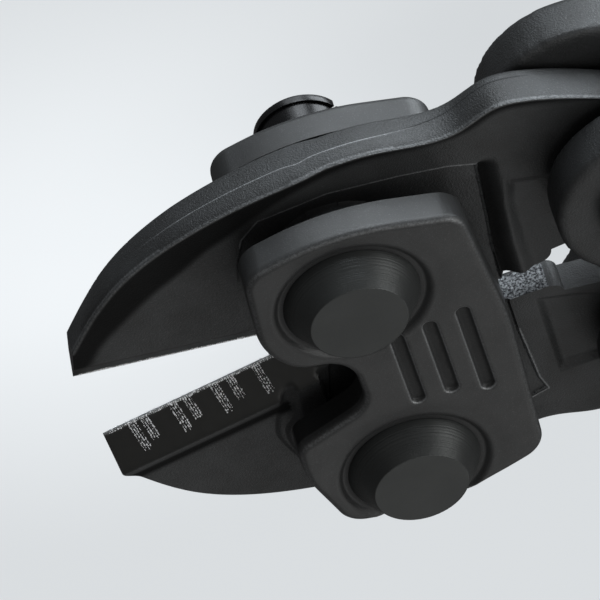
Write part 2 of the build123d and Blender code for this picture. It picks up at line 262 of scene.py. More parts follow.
def bumped(tree, shader, height, distance, strength=1.0):
    """Adds a bump on top of whatever normal the shader already has."""
    bump = add_node(tree, "ShaderNodeBump", Strength=strength, Distance=distance, Height=height)
    if shader.inputs["Normal"].is_linked:
        plug(tree, bump, Normal=shader.inputs["Normal"].links[0].from_socket)
    plug(tree, shader, Normal=bump.outputs["Normal"])

# %% [markdown]
# One function draws every steel here, because they differ in tone, gloss and grain but are all made
# the same way. Only the forged and pressed pieces carry painted places, and only turned ones rings.

# %% Steel finishes
SPECK = (0.42, 0.44, 0.47)
GROUND_STEEL = (0.024, 0.024, 0.023)
# A light tone for rubbed places: part real wear, part painted highlight on edges and seams.
RUB_AND_HIGHLIGHT_STEEL = (0.30, 0.31, 0.32)
TORN_DARK, TORN_LIGHT = (0.03, 0.03, 0.033), (0.26, 0.27, 0.28)


def steel(name, dark, light, roughness, grain=7000.0, grain_depth=0.000012, metallic=0.6,
          specks=0.0, marks=False, turned=0.0):
    """Blackened steel: two close tones in clouds, a fine grain and, if asked, painted marks or
    the fine rings that a lathe leaves round an upright axis."""
    material, tree, shader = new_material(name)
    fine = noise(tree, grain, 2.0, 0.6)
    colour = mix(tree, remap(tree, noise(tree, 260.0, 4.0), 0.35, 0.65, 0, 1), dark, light)
    rough = remap(tree, fine, 0.3, 0.7, roughness - 0.07, roughness + 0.07)
    metal, shine = metallic, 0.5
    if specks:
        colour = mix(tree, remap(tree, noise(tree, grain * 1.3, 1.0), 0.62, 0.72, 0, specks), colour, SPECK)
    if marks:
        hollow, ground, wear_and_highlight, bare = (
            add_node(tree, "ShaderNodeAttribute", [("attribute_name", mark)]).outputs["Fac"]
            for mark in ("hollow", "ground", "wear_and_highlight", "bare"))
        broken = remap(tree, noise(tree, 4800.0, 3.0, 0.7), 0.42, 0.60, 0, 1)
        # Rubbed places, broken up by noise: part wear, part painted highlight where edges catch the light.
        rub_and_highlight = add_node(tree, "ShaderNodeMath", [("operation", "MULTIPLY")], _0=wear_and_highlight,
                       _1=blend(tree, wear_and_highlight, broken, 1.0)).outputs[0]
        torn = mix(tree, broken, TORN_DARK, TORN_LIGHT)
        # Painted shade: hollows take a sixth of the dark tone, with more roughness and less gloss.
        for mark, tone in ((hollow, tuple(0.16 * v for v in dark)), (ground, GROUND_STEEL),
                           (rub_and_highlight, RUB_AND_HIGHLIGHT_STEEL), (bare, torn)):
            colour = mix(tree, mark, colour, tone)
        for mark, level in ((hollow, 0.75), (ground, 0.36), (bare, 0.48)):
            rough = blend(tree, mark, rough, level)
        shine = blend(tree, hollow, shine, 0.12)
        metal = blend(tree, bare, metal, 1.0)
        fine = blend(tree, ground, fine, 0.5)
    plug(tree, shader, Base_Color=colour, Roughness=rough, Metallic=metal, Specular_IOR_Level=shine)
    bumped(tree, shader, noise(tree, 900.0, 3.0), 0.00003, 0.5)
    bumped(tree, shader, fine, grain_depth)
    if turned:
        upright = add_node(tree, "ShaderNodeVectorMath", [("operation", "MULTIPLY")],
                           _0=own_place(tree), _1=(0.0, 0.0, 1.0))
        rings = add_node(tree, "ShaderNodeTexNoise", Vector=upright.outputs[0], Scale=5200.0)
        bumped(tree, shader, rings.outputs["Fac"], turned)
    return material


FORGED = steel("forged_black_steel", (0.042, 0.043, 0.044), (0.057, 0.059, 0.061), 0.50,
               grain=6500.0, grain_depth=0.000048, metallic=0.55, specks=0.07, marks=True)
PRESSED = steel("blackened_plate_steel", (0.044, 0.045, 0.046), (0.053, 0.054, 0.055), 0.46,
                grain=8500.0, grain_depth=0.000008, metallic=0.5, specks=0.08, marks=True)
TURNED = steel("turned_black_steel", (0.046, 0.049, 0.049), (0.053, 0.056, 0.056), 0.44,
               grain=9000.0, grain_depth=0.000003, metallic=0.6, turned=0.00004)
GLOSSY = steel("oiled_black_steel", (0.011, 0.011, 0.012), (0.016, 0.016, 0.017), 0.26,
               grain=9000.0, grain_depth=0.000002, metallic=0.5)
SPRING = steel("spring_steel", (0.10, 0.10, 0.105), (0.16, 0.16, 0.165), 0.34, metallic=0.9)
# The bare metal of the edge specks, drawn nearly white and barely metallic: a painted glint that shows under
# any lamp.
BARE_GLINT_STEEL = steel("bare_edge_steel_painted_glint", (0.80, 0.81, 0.83), (0.95, 0.96, 0.98), 0.40, metallic=0.15)
print("steels:", [m.name for m in (FORGED, PRESSED, TURNED, GLOSSY, SPRING, BARE_GLINT_STEEL)])

# %% [markdown]
# The grips are two mouldings: a hard core, and a softer sleeve with a fine leathery texture that
# gives more friction. The bump stops are plain black rubber.

# %% Moulded finishes
def moulding(name, colour, roughness, pebble, depth):
    """A moulded plastic or rubber with a pebbled texture and slight dirt in it."""
    material, tree, shader = new_material(name)
    patches = remap(tree, noise(tree, 120.0, 5.0), 0.3, 0.7, 0, 1)
    second = tuple(min(1.0, 1.35 * v + 0.004) for v in colour)
    plug(tree, shader, Base_Color=mix(tree, patches, colour, second),
         Roughness=remap(tree, patches, 0, 1, roughness - 0.06, roughness + 0.06))
    cells = add_node(tree, "ShaderNodeTexVoronoi", Vector=own_place(tree), Scale=pebble)
    bumped(tree, shader, cells.outputs["Distance"], depth)
    bumped(tree, shader, noise(tree, 5000.0, 2.0), depth * 0.2)
    return material


HARD = moulding("hard_grip_plastic", (0.030, 0.031, 0.033), 0.48, 2600.0, 0.00002)
SOFT = moulding("soft_grip_rubber", (0.020, 0.020, 0.021), 0.72, 1500.0, 0.00006)
RUBBER = moulding("bump_stop_rubber", (0.016, 0.016, 0.016), 0.80, 3000.0, 0.00002)
print("mouldings:", [m.name for m in (HARD, SOFT, RUBBER)])

# %% [markdown]
# ## Drawing outlines
# Every forging is drawn first as a flat outline of a few points. A smooth stretch is a cubic curve
# through its points, with the same curvature on both sides of each, as a draughtsman's bent lath
# has. Round stretches are arcs through three points.

# %% Curves
def lath(points, step=0.2):
    """A smooth curve through the points, as a list of close points."""
    knots = np.array(points, float)
    gaps = np.hypot(*np.diff(knots, axis=0).T)
    along = np.concatenate(([0], np.cumsum(gaps)))
    count = len(knots)
    rows = np.eye(count)
    target = np.zeros((count, 2))
    for i in range(1, count - 1):
        rows[i, i - 1:i + 2] = gaps[i - 1], 2 * (gaps[i - 1] + gaps[i]), gaps[i]
        target[i] = 6 * ((knots[i + 1] - knots[i]) / gaps[i] - (knots[i] - knots[i - 1]) / gaps[i - 1])
    bend = np.linalg.solve(rows, target)
    where = np.linspace(0, along[-1], int(along[-1] / step) + 2)
    i = np.clip(np.searchsorted(along, where, side="right") - 1, 0, count - 2)
    h = gaps[i][:, None]
    a = (along[i + 1] - where)[:, None]
    b = (where - along[i])[:, None]
    return (bend[i] * a**3 + bend[i + 1] * b**3) / (6 * h) + (knots[i] / h - bend[i] * h / 6) * a \
        + (knots[i + 1] / h - bend[i + 1] * h / 6) * b


def around(centre, radius, angles):
    return np.column_stack((centre[0] + radius * np.cos(angles), centre[1] + radius * np.sin(angles)))


def arc(first, middle, last, step=0.2):
    """The arc from the first point to the last, through the middle one."""
    a, b, c = (complex(*p) for p in (first, middle, last))
    skew = (c - a) / (b - a)
    centre = a + (b - a) * (skew - abs(skew)**2) / (2j * skew.imag)
    turn = np.angle([a - centre, b - centre, c - centre])
    sweep = (turn[2] - turn[0]) % (2 * pi)
    if (turn[1] - turn[0]) % (2 * pi) > sweep:
        sweep -= 2 * pi
    radius = abs(a - centre)
    angles = turn[0] + sweep * np.linspace(0, 1, max(3, int(abs(sweep) * radius / step) + 1))
    return around((centre.real, centre.imag), radius, angles)


def circle(centre, radius, step=0.2):
    count = max(12, int(2 * pi * radius / step))
    return around(centre, radius, np.arange(count) * 2 * pi / count)


def divided(points, step, closed):
    """The same line with every run cut into short equal steps."""
    points = [np.array(p, float) for p in points]
    ends = points[1:] + points[:1] if closed else points[1:]
    out = []
    for start, end in zip(points, ends):
        length = np.hypot(*(end - start))
        pieces = max(1, int(np.ceil(length / step)))
        if length > 1e-6:
            out.extend(start + (end - start) * k / pieces for k in range(pieces))
    if not closed:
        out.append(points[-1])
    return np.array(out)


def outline(parts, step=0.2):
    """One closed anticlockwise outline from stretches that follow each other."""
    loop = divided([p for part in parts for p in part], step, True)
    area = np.sum(loop[:, 0] * np.roll(loop[:, 1], -1) - np.roll(loop[:, 0], -1) * loop[:, 1])
    return loop if area > 0 else loop[::-1]


def to_right(along):
    """The directions to the right of the given ones, with length 1."""
    along = along / np.maximum(np.hypot(*along.T), 1e-9)[:, None]
    return np.column_stack((along[:, 1], -along[:, 0]))


def outward(loop):
    """The outward direction at each point of an anticlockwise outline."""
    return to_right(np.roll(loop, -1, axis=0) - np.roll(loop, 1, axis=0))


print("a lath through 3 points has", len(lath([(0, 0), (5, 3), (10, 0)])), "points")

# %% [markdown]
# A forging's relief is a height over its outline: coves beside the rim, a ground bevel, a sunk
# panel. Each is a rule on how far a point is from some line of the drawing, so this cell measures
# those distances for many points at once.

# %% Distances
def distance(points, line, closed=False):
    """How far each point is from a line of short runs."""
    line = np.asarray(line, float)
    starts = line if closed else line[:-1]
    runs = (np.roll(line, -1, axis=0) if closed else line[1:]) - starts
    lengths = np.maximum((runs**2).sum(1), 1e-12)
    out = np.empty(len(points))
    for k in range(0, len(points), 2000):
        gap = points[k:k + 2000, None, :] - starts[None]
        share = np.clip((gap * runs).sum(2) / lengths, 0, 1)
        out[k:k + 2000] = np.sqrt(((gap - share[..., None] * runs)**2).sum(2).min(1))
    return out


def within(points, loop):
    """True for each point inside a closed outline."""
    x, y = points[:, 0, None], points[:, 1, None]
    (ax, ay), (bx, by) = np.asarray(loop, float).T, np.roll(loop, -1, axis=0).T
    crosses = (ay[None] > y) != (by[None] > y)
    with np.errstate(divide="ignore", invalid="ignore"):
        at = (bx - ax) * (y - ay) / (by - ay) + ax
    return (np.sum(crosses & (x < at), axis=1) % 2) == 1


def outside_by(points, loop):
    """Distance to a region: nothing inside it, more further out."""
    return np.where(within(points, loop), 0, distance(points, loop, True))


def inside_by(points, loop):
    """How deep inside a region each point is: nothing outside it."""
    return np.where(within(points, loop), distance(points, loop, True), 0)


def ease(value):
    """A smooth step from 0 to 1."""
    value = np.clip(value, 0, 1)
    return value * value * (3 - 2 * value)


def fade(value):
    """A smooth step from 1 to 0."""
    return 1 - ease(value)


def hump(value, middle, width):
    """A smooth hump of height 1."""
    return np.exp(-((value - middle) / width)**2)


def rounding(depth, radius):
    """How much a rounded edge takes off the height, at a depth inside the outline."""
    left = np.clip(radius - depth, 0, radius)
    return radius - np.sqrt(np.maximum(radius**2 - left**2, 0))

# %% [markdown]
# The mesh of a relief needs points on the outline, on fine rings just inside it where the edge is
# rounded, along each crease of the relief, and a plain grid elsewhere. A Delaunay triangulation
# joins them, the height is read at each point, and a wall of several rows closes the two faces.
# The rows let the wall carry the seam that the forging dies leave.

# %% Relief meshes
WALL_SHARES = [0.02, 0.05, 0.1, 0.18, 0.26, 0.34, 0.42, 0.46, 0.48, 0.492, 0.508, 0.52, 0.54, 0.58, 0.66,
               0.74, 0.82, 0.9, 0.95, 0.98]          # how far down a wall each row is
CREASE_ROWS = (0.0, -0.07, 0.07, -0.2, 0.2)          # mm beside a crease
CLOSEST = 0.025                                      # mm between two points


def scattered(loop, holes, creases, grid, rings):
    """The points of a relief: outline, holes, rings, creases, then a staggered grid."""
    normals = outward(loop)
    chosen = [loop] + [np.asarray(h) for h in holes]
    fixed, extra = sum(len(c) for c in chosen), []
    for depth in rings:
        ring = loop - normals * depth
        extra.append(ring[distance(ring, loop, True) > depth * 0.93])
    for line, closed in creases:
        line = divided(line, 0.18, closed)
        side = to_right(np.gradient(line, axis=0))
        extra.extend(line + side * shift for shift in CREASE_ROWS)
    (x0, y0), (x1, y1) = loop.min(0), loop.max(0)
    xs, ys = np.meshgrid(np.arange(x0, x1, grid), np.arange(y0, y1, grid * 0.87))
    xs[1::2] += grid / 2
    extra.append(np.column_stack((xs.ravel(), ys.ravel())))
    extra = np.concatenate(extra)
    keep = within(extra, loop) & (distance(extra, loop, True) > 0.02)
    for hole in holes:
        keep &= ~within(extra, hole) & (distance(extra, hole, True) > 0.05)
    extra = extra[keep]
    points = np.concatenate(chosen + [extra])
    tree = kdtree.KDTree(len(points))
    for i, (x, y) in enumerate(points):
        tree.insert((x, y, 0), i)
    tree.balance()
    alive = np.ones(len(points), bool)
    for i in range(fixed, len(points)):
        near = tree.find_range((*points[i], 0), CLOSEST)
        alive[i] = not any(j < i and alive[j] for _, j, _ in near)
    return points[alive], [len(c) for c in chosen]


def relief(name, loop, top, bottom, holes=(), creases=(), grid=0.26, rings=(0.04, 0.1, 0.2, 0.34),
           swell=None, marks=None):
    """A closed mesh between two height functions over an outline, with its attributes."""
    points, counts = scattered(loop, holes, creases, grid, rings)
    edges, start = [], 0
    for count in counts:
        edges += [(start + i, start + (i + 1) % count) for i in range(count)]
        start += count
    flat, _, tris, sources, _, _ = geometry.delaunay_2d_cdt(
        [Vector(p) for p in points], edges, [], 0, 1e-5)
    flat, tris = np.array([(v.x, v.y) for v in flat]), np.array(tris)
    middles = flat[tris].mean(axis=1)
    good = within(middles, loop)
    for hole in holes:
        good &= ~within(middles, hole)
    tris = tris[good]
    corner = flat[tris]
    turn = np.cross(corner[:, 1] - corner[:, 0], corner[:, 2] - corner[:, 0])
    tris[turn < 0] = tris[turn < 0][:, ::-1]
    place_of = {j: i for i, source in enumerate(sources) for j in source}
    on_rim = np.zeros(len(flat), bool)       # a triangle of three points in a row on the rim is dropped
    on_rim[[place_of[i] for i in range(sum(counts))]] = True
    tris = tris[~(on_rim[tris].all(axis=1) & (np.abs(turn) < 1e-5))]
    high, low = top(flat), bottom(flat)
    verts = [np.column_stack((flat, high)), np.column_stack((flat, low))]
    faces = [tris, tris[:, ::-1] + len(flat)]
    made, start = 2 * len(flat), 0
    for count in counts:
        ids = np.array([place_of[start + i] for i in range(count)])
        normals = outward(flat[ids])
        rows = [ids]
        for share in WALL_SHARES:
            z = high[ids] * (1 - share) + low[ids] * share
            push = 0 * z
            if swell is not None and start == 0:
                z = z + seam_height(flat[ids]) * 4 * share * (1 - share)
                push = swell(flat[ids], share)
            verts.append(np.column_stack((flat[ids] + normals * push[:, None], z)))
            rows.append(np.arange(made, made + count))
            made += count
        rows.append(ids + len(flat))
        for upper, lower in zip(rows, rows[1:]):
            faces.append(np.column_stack((upper, lower, np.roll(lower, -1), np.roll(upper, -1))))
        start += count
    verts = np.concatenate(verts)
    mesh = bpy.data.meshes.new(name)
    mesh.from_pydata(place(verts).tolist(), [], [f.tolist() for part in faces for f in part])
    mesh.validate()
    mesh.shade_smooth()
    mesh.set_sharp_from_angle(angle=radians(38))
    for mark, rule in (marks or {}).items():
        layer = mesh.attributes.new(mark, "FLOAT", "POINT")
        layer.data.foreach_set("value", np.clip(rule(verts), 0, 1).astype(np.float32))
    print(f"{name}: {len(verts)} points, {len(mesh.polygons)} faces")
    return added(name, mesh)


def finish(piece, material, body, slot, *nodes):
    """Gives a piece its finish and its body, and hides the nodes that it stands for."""
    piece.data.materials.clear()
    piece.data.materials.append(material)
    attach(piece, body)
    if nodes:
        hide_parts(*nodes)
    return piece

# %% [markdown]
# ## Side plates
# Each plate is blanked from 2.9 mm strip and its edges are rolled over. A shallow seat round each
# bolt and three blind slots are pressed into its outer face, and a round throat is cut out between
# the jaws. The plates lie on both sides of the jaws, so the rear one is the front one turned over.

# %% Side plate drawing
PLATE_CORNERS = [          # corner and its rounding, clockwise from the upper front corner
    ((-7.45, 17.65), 2.4), ((0.6, 19.45), 20.0), ((10.3, 16.6), 2.4), ((11.3, 3.0), 30.0),
    ((10.6, -13.9), 2.6), ((0.8, -17.3), 8.0), ((-6.7, -15.3), 2.8), ((-8.75, -8.0), 12.0),
    ((-8.4, -4.2), 1.5), ((-1.8, -1.6), 2.4), ((-1.8, 4.1), 3.1), ((-6.2, 5.3), 3.4),
    ((-8.2, 8.6), 6.4)]
PLATE_LOW = float(box_mm("front_side_plate")[0][2])
PLATE_HIGH = float(box_mm("front_side_plate")[1][2])
PLATE_EDGE = 0.62
SEAT_RADIUS = 6.05
SEAT_DEPTH = 0.45
BOLT_HOLE = 4.05
SLOT_HALF = 0.55
SLOT_DEPTH = 0.42
SLOTS = [(2.2, -3.2, 5.4), (5.0, -3.25, 5.75), (7.85, -4.3, 6.2)]   # x, lowest y, highest y


def rounded(corners, step=0.15):
    """A closed outline whose corners are rounded to their own radii."""
    parts = []
    points = [np.array(c, float) for c, _ in corners]
    for i, (_, radius) in enumerate(corners):
        here, before, after = points[i], points[i - 1], points[(i + 1) % len(points)]
        a, b = before - here, after - here
        a, b = a / np.hypot(*a), b / np.hypot(*b)
        half = np.arccos(np.clip(a @ b, -1, 1)) / 2
        reach = radius / np.tan(half)
        centre = here + (a + b) / np.hypot(*(a + b)) * radius / np.sin(half)
        middle = centre + (here - centre) / np.hypot(*(here - centre)) * radius
        parts.append(arc(here + a * reach, middle, here + b * reach, step))
    return outline(parts, step)


def from_slot(points):
    """Distance from the middle line of the nearest slot."""
    return np.min([distance(points, [(x, low + SLOT_HALF), (x, high - SLOT_HALF)])
                   for x, low, high in SLOTS], axis=0)


def from_bolt(points):
    """Distance from the middle of the nearer bolt."""
    return np.hypot(points[:, 0], np.abs(points[:, 1]) - PIVOT_Y)


def plate_height(points):
    """The outer face: rolled edge, a gentle crown, two bolt seats and three slots."""
    high = PLATE_HIGH - rounding(inside_by(points, PLATE_LOOP), PLATE_EDGE)
    seat = from_bolt(points) - SEAT_RADIUS
    high -= SEAT_DEPTH * fade((seat + 0.15) / 0.6) + 0.10 * hump(seat, 0.6, 1.1)
    high -= SLOT_DEPTH * fade((from_slot(points) - SLOT_HALF + 0.16) / 0.30)
    return high


def on_face(verts):
    """True for the points on the plate's outer face and its rolled edge."""
    return verts[:, 2] > PLATE_HIGH - 0.9


# Light lines on the rolled rim and the slot edges: part wear, part painted highlight where these rounded
# edges catch the light.
def plate_wear_and_highlight(verts):
    flat = verts[:, :2]
    rim = 0.35 * hump(distance(flat, PLATE_LOOP, True), 0.22, 0.12)
    return (rim + 0.8 * hump(from_slot(flat), SLOT_HALF + 0.08, 0.06)) * on_face(verts)


# Painted shade: darker in the slots, in the bolt seats and on the throat's walls, where shade falls.
def plate_hollow(verts):
    flat, z = verts[:, :2], verts[:, 2]
    depth = fade((from_slot(flat) - SLOT_HALF + 0.2) / 0.25)
    depth += 0.9 * fade((from_bolt(flat) - SEAT_RADIUS + 0.5) / 0.6)
    throat = (flat[:, 0] < -1.3) & (np.abs(flat[:, 1]) < 4.6) & (z < PLATE_HIGH - 0.3)
    return np.where(on_face(verts), 0.45 * depth, 0.75 * throat)


PLATE_LOOP = rounded(PLATE_CORNERS)
bolt_holes = [circle((0, side * PIVOT_Y), BOLT_HOLE)[::-1] for side in (1, -1)]
plate_creases = [(circle((0, side * PIVOT_Y), SEAT_RADIUS), True) for side in (1, -1)]
for x, low, high in SLOTS:
    plate_creases.append((rounded([((x - SLOT_HALF, low), 0.54), ((x - SLOT_HALF, high), 0.54),
                                   ((x + SLOT_HALF, high), 0.54), ((x + SLOT_HALF, low), 0.54)]), True))
print("plate outline has", len(PLATE_LOOP), "points")

# %% Side plate pieces
front_plate = relief("front_plate", PLATE_LOOP, plate_height, lambda p: np.full(len(p), PLATE_LOW),
                     bolt_holes, plate_creases, 0.32, (0.03, 0.09, 0.18, 0.3, 0.45, 0.62),
                     marks={"wear_and_highlight": plate_wear_and_highlight, "hollow": plate_hollow})


def turned_over(piece, name):
    """A copy of a piece mirrored to the rear, with its faces pointing outwards again."""
    mesh = piece.data.copy()
    mesh.name = name
    mesh.transform(Matrix.Translation((0, 0, 2 * HEAD[2] * MM)) @ Matrix.Diagonal((1, 1, -1, 1)))
    mesh.flip_normals()
    return added(name, mesh)


rear_plate = turned_over(front_plate, "rear_plate")
finish(front_plate, PRESSED, "head", "blackened_plate", "front_side_plate")
finish(rear_plate, PRESSED, "head", "blackened_plate", "rear_side_plate")

# %% [markdown]
# ## Jaws
# A jaw is a drop forging with an I-shaped section: a thick rim along its back, thin flanks, and coves
# between them. The blade's edge is ground to a wedge after forging. The hub lies in a machined step
# under the side plates, and behind it the tail has a sunk panel. The rim's wall carries the seam
# where the two dies met, which is never quite in line.

# %% Jaw drawings
BLADE_SLOPE = tan(radians(30))
UPPER = {"side": 1, "tip": (-23.4, 5.62), "front": (-22.55, 9.6), "edge_end": (-5.2, 2.62),
         "spine": [(-17.2, 15.6), (-9.8, 19.35), (-1.0, 21.0), (5.6, 20.9)],
         "back": [(12.0, 20.2), (13.7, 20.9), (15.4, 21.45), (17.5, 21.2), (19.7, 20.4)],
         "heel": 1.4, "throat": (-3.6, 3.6)}
LOWER = {"side": -1, "tip": (-23.1, -2.34), "front": (-22.75, -5.9), "edge_end": (-5.2, 0.7),
         "spine": [(-17.7, -12.0), (-9.6, -15.9), (0.0, -17.4), (6.0, -17.2)],
         "back": [(12.2, -16.8), (15.8, -17.9), (19.7, -17.3)], "heel": -1.2, "throat": (-3.4, -1.2)}


def jaw_back(jaw):
    """The jaw's front, spine and back as one line, as far as its tail eye."""
    s = jaw["side"]
    return lath([jaw["front"], *jaw["spine"], *jaw["back"], (TAIL_X + 5.2, s * (TAIL_Y + 3.9))])


def jaw_loop(jaw):
    s, heel_y = jaw["side"], jaw["heel"]
    eye = arc((TAIL_X + 5.2, s * (TAIL_Y + 3.9)), (TAIL_X + 6.5, s * TAIL_Y),
              (TAIL_X + 1.6, s * (TAIL_Y - 6.3)))
    heel = arc((16.1, heel_y + s * 1.1), (15.7, heel_y + s * 0.3), (14.9, heel_y))
    inner = [(11.3, heel_y), (11.1, s * 0.05), (9.5, s * 0.05), (9.2, s * 0.5), (-0.5, s * 0.5),
             (-2.2, s * 0.9), jaw["throat"], jaw["edge_end"], jaw["tip"]]
    return outline([jaw_back(jaw), eye, heel, inner])


def edge_line(jaw):
    """The cutting edge as a point, its direction, and the direction into the blade."""
    tip, end = np.array(jaw["tip"]), np.array(jaw["edge_end"])
    along = (end - tip) / np.hypot(*(end - tip))
    into = np.array((-along[1], along[0])) * jaw["side"]
    return tip, along, into


def bevel(points, jaw):
    """The ground wedge's height: nothing on the cutting edge, more into the blade."""
    tip, _, into = edge_line(jaw)
    high = LEAST + np.maximum((points - tip) @ into, 0) * BLADE_SLOPE
    return np.where(points[:, 0] < jaw["throat"][0], high, 9.0)


for jaw in (UPPER, LOWER):
    jaw["line"] = jaw_back(jaw)
    jaw["loop"] = jaw_loop(jaw)
print("jaw outlines have", len(UPPER["loop"]), "and", len(LOWER["loop"]), "points")

# %% [markdown]
# The upper jaw's relief. The rim is thinnest at the tip and thickest above the front bolt. Where the
# rim's width changes, the dies leave a small shoulder. The flank and the flange below the rim form
# one floor, and the cove's foot is the line drawn here.

# %% Upper jaw relief
UPPER_FLOOR = [(-21.1, 7.3), (-20.0, 8.7), (-17.5, 10.7), (-14.2, 12.9), (-11.9, 14.1), (-9.3, 15.6),
               (-7.0, 16.6), (-4.0, 18.0), (-1.6, 18.9), (1.4, 19.6), (6.0, 19.7), (11.9, 19.05),
               (13.8, 19.5), (15.3, 20.1), (18.0, 19.8), (22.0, 18.6)]
UPPER_STEP_TOP = [(-8.8, 5.8), (-9.0, 7.2), (-8.6, 9.8), (-7.8, 13.3), (-6.7, 15.9), (-5.0, 17.45),
                  (0.8, 17.95), (6.5, 17.2), (10.5, 16.4), (12.6, 15.6)]
UPPER_STEP = UPPER_STEP_TOP + [(12.3, 11.7), (12.05, 8.5), (11.75, 5.4), (11.6, 0.0), (-3.0, 0.0),
                               (-6.0, 3.0)]
TROUGH_WALL = ([0.0, 5.4, 8.5, 11.7, 15.6], [11.6, 11.75, 12.05, 12.3, 12.6])    # its x at each y
TROUGH_TOP = 16.0
TROUGH_WIDTH = 1.5
UPPER_PANEL = [(14.3, 12.9), (13.5, 9.8), (13.4, 5.3), (13.4, -1.0), (20.0, 0.5), (24.0, 3.2),
               (20.4, 6.0), (19.3, 9.0), (19.2, 11.6), (16.7, 12.3)]
HUB_LEVEL = 1.42
LEAST = 0.03              # half the thickness of the cutting edge
RIM = ([-23.5, -20, -18.4, -15.8, -11, -2, -0.4, 1.4], [1.2, 1.35, 1.5, 1.65, 1.9, 2.1, 2.05, 1.75])
FLOOR = ([-10, -4], [1.15, HUB_LEVEL])                    # half thickness at each x
STEP_LEVEL = 1.18
TROUGH_LEVEL = 0.55
PANEL_LEVEL = 0.95
BOSS_RADIUS = 5.4
BOSS_HEIGHT = 3.98
EYE_RADIUS = 5.9
EDGE_RADIUS = 0.16

floor_low = [(40, 12), (40, -5), (-21.6, -5), (-22.0, 6.6)]
UPPER_FLOOR_LOOP = np.array(lath(UPPER_FLOOR, 0.4).tolist() + floor_low)


def on_boss(points, side):
    """The boss that the plates bear on and the eye's pad, as heights."""
    hub = np.hypot(points[:, 0], points[:, 1] - side * PIVOT_Y)
    eye = np.hypot(points[:, 0] - TAIL_X, points[:, 1] - side * TAIL_Y)
    return BOSS_HEIGHT * fade((hub - BOSS_RADIUS) / 0.12), 1.8 * fade((eye - EYE_RADIUS) / 0.3)


def trough(points):
    """The trough behind the upper jaw's hub: a sharp wall on one side, a slow rise on the other."""
    beyond = points[:, 0] - np.interp(points[:, 1], *TROUGH_WALL)
    shape = ease(beyond / 0.12) * fade((beyond - 0.3) / TROUGH_WIDTH)
    return shape * ease((TROUGH_TOP - points[:, 1]) / 1.4) * (points[:, 1] > -1)


def upper_height(points):
    x = points[:, 0]
    rim, floor = np.interp(x, *RIM), np.interp(x, *FLOOR)
    gap = outside_by(points, UPPER_FLOOR_LOOP)
    spine = distance(points, UPPER["line"])
    share = gap / np.maximum(gap + spine, 1e-6)
    high = floor + (rim - floor) * (0.35 * share + 0.65 * share**2.4)
    high -= (high - PANEL_LEVEL) * ease(inside_by(points, UPPER_PANEL) / 1.3)
    high += (STEP_LEVEL - high) * ease(inside_by(points, UPPER_STEP) / 0.14)
    high += (TROUGH_LEVEL - high) * trough(points)
    high = np.maximum(high, np.maximum(*on_boss(points, 1)))
    high = np.minimum(high, bevel(points, UPPER))
    return np.maximum(high - rounding(spine, EDGE_RADIUS), LEAST)

# %% [markdown]
# The lower jaw's bevel is wide: it runs up to a soft ridge, then the surface drops through a narrow
# cove to the flank. The flank meets the hub in two curved shoulders.

# %% Lower jaw relief
RIDGE_DEPTH = 3.5
FLANK_DEPTH = 5.7
LOWER_FLANK = 1.3
LOWER_RIM = 1.75
SHOULDER_ONE = [(-9.0, -4.6), (-9.4, -5.7), (-9.95, -7.7), (-9.55, -10.0), (-8.8, -12.3), (-7.6, -16.5)]
SHOULDER_TWO = [(-7.6, -4.6), (-8.0, -6.0), (-8.85, -6.9), (-9.2, -7.9), (-9.1, -9.7), (-8.7, -11.6),
                (-7.4, -16.5)]
LOWER_STEP = [(11.6, -0.3), (11.6, -5.4), (11.9, -11.7), (12.3, -13.4), (6.0, -15.2), (0.0, -15.6),
              (-4.6, -14.6), (-5.0, -11.0), (-5.0, -6.5), (-4.0, -2.0), (-3.0, 0.0)]
LOWER_PANEL = [(13.5, -12.0), (13.5, -2.0), (17.0, -3.0), (21.6, -5.2), (19.2, -9.0), (19.3, -12.0)]
shoulder_end = [(40, -20), (40, 4), (-6.5, 4)]
SHOULDER_ONE_LOOP = np.array(lath(SHOULDER_ONE, 0.3).tolist() + shoulder_end)
SHOULDER_TWO_LOOP = np.array(lath(SHOULDER_TWO, 0.3).tolist() + shoulder_end)


def lower_height(points):
    tip, _, into = edge_line(LOWER)
    depth = (points - tip) @ into
    ridge = RIDGE_DEPTH * BLADE_SLOPE + LEAST
    drop = ease((depth - RIDGE_DEPTH) / (FLANK_DEPTH - RIDGE_DEPTH)) ** 0.75
    high = ridge + (LOWER_FLANK - ridge) * drop
    spine = distance(points, LOWER["line"])
    rim = np.interp(points[:, 0], (-8, 0), (1.3, LOWER_RIM))
    high = np.where(points[:, 0] > -6, HUB_LEVEL + (rim - HUB_LEVEL) * fade(spine / 1.6), high)
    one = ease(inside_by(points, SHOULDER_ONE_LOOP) / 0.45)
    two = ease(inside_by(points, SHOULDER_TWO_LOOP) / 0.40)
    flank = LOWER_FLANK + (high - LOWER_FLANK) * (1 - one) + 0.30 * one + 0.35 * two
    high = np.where(points[:, 0] < -5, flank, high)
    high += (STEP_LEVEL - high) * ease(inside_by(points, LOWER_STEP) / 0.14)
    high -= (high - PANEL_LEVEL) * ease(inside_by(points, LOWER_PANEL) / 0.9)
    high = np.maximum(high, np.maximum(*on_boss(points, -1)))
    crest = bevel(points, LOWER)
    high = np.where(depth < RIDGE_DEPTH + 3, -np.logaddexp(-high * 14, -crest * 14) / 14, high)
    return np.maximum(high - rounding(spine, EDGE_RADIUS), LEAST)


for jaw, height in ((UPPER, upper_height), (LOWER, lower_height)):
    spots = np.array([(0, jaw["side"] * PIVOT_Y), jaw["edge_end"], jaw["spine"][0]])
    print("half thickness at hub, edge and spine:", height(spots).round(2))

# %% [markdown]
# The wall of a forging has a slight draft, so it stands out a little at mid height, and the seam of
# the dies is a step of a tenth of a millimetre with one small jog above the front bolt. The same
# rule serves both jaws: it only acts along the back, never on the ground edge.

# %% Die seam and painted places
SEAM_STEP = 0.11


